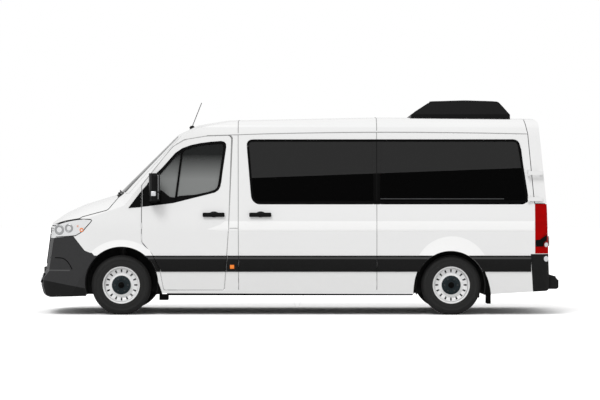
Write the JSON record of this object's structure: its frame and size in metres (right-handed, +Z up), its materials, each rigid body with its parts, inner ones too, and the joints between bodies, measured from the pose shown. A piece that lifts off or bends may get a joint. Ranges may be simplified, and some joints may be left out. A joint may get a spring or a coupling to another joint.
{
  "type": "minibus",
  "caption": "Long white passenger minibus with a sloping nose, opening cab and rear doors, a lifting bonnet, steered front wheels and a roof air unit.",
  "frame": {"origin": "on the ground under the middle of the vehicle's length and width", "axes": "-X to the front, -Y to the vehicle's left side, +Z up"},
  "size_m": [5.8319, 2.334, 2.3972],
  "materials": {
    "paint": "gloss white paint",
    "bumper_plastic": "grained dark grey plastic",
    "dark_plastic": "black plastic",
    "trim_plastic": "grained dark trim",
    "lamp_lens": "clear lamp lens",
    "red_lens": "red lamp lens",
    "clear_glass": "lightly tinted glass",
    "dark_glass": "deeply tinted glass",
    "chassis": "black chassis paint",
    "engine_block": "plain block",
    "bare_steel": "dull steel",
    "seat_cloth": "dark woven cloth",
    "flap_rubber": "matt rubber",
    "tyre": "black tyre rubber",
    "wheel_steel": "silver wheel paint"
  },
  "bodies": {
    "body": {"floor": "chassis", "side_frame_left": "paint", "side_frame_right": "paint", "roof_panel": "paint", "front_wings": "paint", "cowl": "dark_plastic", "front_bumper": "bumper_plastic", "grille": "dark_plastic", "headlamps": "lamp_lens", "windscreen": "clear_glass", "sliding_door_left": "paint", "sliding_door_right": "paint", "side_windows": "dark_glass", "tail_lamps": "red_lens", "rear_bumper": "bumper_plastic", "roof_air_unit": "dark_plastic", "aerial": "dark_plastic", "rear_axle": "chassis", "front_suspension": "chassis", "engine": "engine_block", "driveline": "chassis", "exhaust": "bare_steel", "fuel_tank": "dark_plastic", "dashboard": "trim_plastic", "steering_wheel": "trim_plastic", "front_seats": "seat_cloth", "passenger_seats": "seat_cloth", "mud_flaps": "flap_rubber"},
    "bonnet": {"bonnet": "paint"},
    "front_door_left": {"front_door_left": "paint", "door_glass_left": "clear_glass", "mirror_left": "dark_plastic"},
    "front_door_right": {"front_door_right": "paint", "door_glass_right": "clear_glass", "mirror_right": "dark_plastic"},
    "rear_door_left": {"rear_door_left": "paint", "rear_glass_left": "dark_glass"},
    "rear_door_right": {"rear_door_right": "paint", "rear_glass_right": "dark_glass"},
    "knuckle_left": {"knuckle_left": "chassis"},
    "knuckle_right": {"knuckle_right": "chassis"},
    "wheel_front_left": {"tyre_front_left": "tyre", "rim_front_left": "wheel_steel"},
    "wheel_front_right": {"tyre_front_right": "tyre", "rim_front_right": "wheel_steel"},
    "wheel_rear_left": {"tyre_rear_left": "tyre", "rim_rear_left": "wheel_steel"},
    "wheel_rear_right": {"tyre_rear_right": "tyre", "rim_rear_right": "wheel_steel"}
  },
  "joints": [
    {"name": "bonnet_hinge", "type": "hinge", "parent": "body", "child": "bonnet", "pos_m": [-1.955, 0, 1.33], "axis": [0, 1, 0], "range_deg": [0, 48]},
    {"name": "front_door_left_hinge", "type": "hinge", "parent": "body", "child": "front_door_left", "pos_m": [-1.72, -1.012, 1.1], "axis": [0, 0, -1], "range_deg": [0, 68]},
    {"name": "front_door_right_hinge", "type": "hinge", "parent": "body", "child": "front_door_right", "pos_m": [-1.72, 1.012, 1.1], "axis": [0, 0, 1], "range_deg": [0, 68]},
    {"name": "rear_door_left_hinge", "type": "hinge", "parent": "body", "child": "rear_door_left", "pos_m": [2.575, -0.995, 1.43], "axis": [0, 0, -1], "range_deg": [0, 90]},
    {"name": "rear_door_right_hinge", "type": "hinge", "parent": "body", "child": "rear_door_right", "pos_m": [2.575, 0.995, 1.43], "axis": [0, 0, 1], "range_deg": [0, 90]},
    {"name": "steer_left", "type": "hinge", "parent": "body", "child": "knuckle_left", "pos_m": [-1.949, -0.79, 0.33], "axis": [0, 0, 1], "range_deg": [-35, 35]},
    {"name": "steer_right", "type": "hinge", "parent": "body", "child": "knuckle_right", "pos_m": [-1.949, 0.79, 0.33], "axis": [0, 0, 1], "range_deg": [-35, 35]},
    {"name": "spin_front_left", "type": "hinge", "parent": "knuckle_left", "child": "wheel_front_left", "pos_m": [-1.949, -0.86, 0.33], "axis": [0, 1, 0], "continuous": true},
    {"name": "spin_front_right", "type": "hinge", "parent": "knuckle_right", "child": "wheel_front_right", "pos_m": [-1.949, 0.86, 0.33], "axis": [0, 1, 0], "continuous": true},
    {"name": "spin_rear_left", "type": "hinge", "parent": "body", "child": "wheel_rear_left", "pos_m": [1.716, -0.86, 0.33], "axis": [0, 1, 0], "continuous": true},
    {"name": "spin_rear_right", "type": "hinge", "parent": "body", "child": "wheel_rear_right", "pos_m": [1.716, 0.86, 0.33], "axis": [0, 1, 0], "continuous": true}
  ],
  "couplings": [
    {"joint": "steer_right", "follows": "steer_left", "ratio": 1}
  ]
}
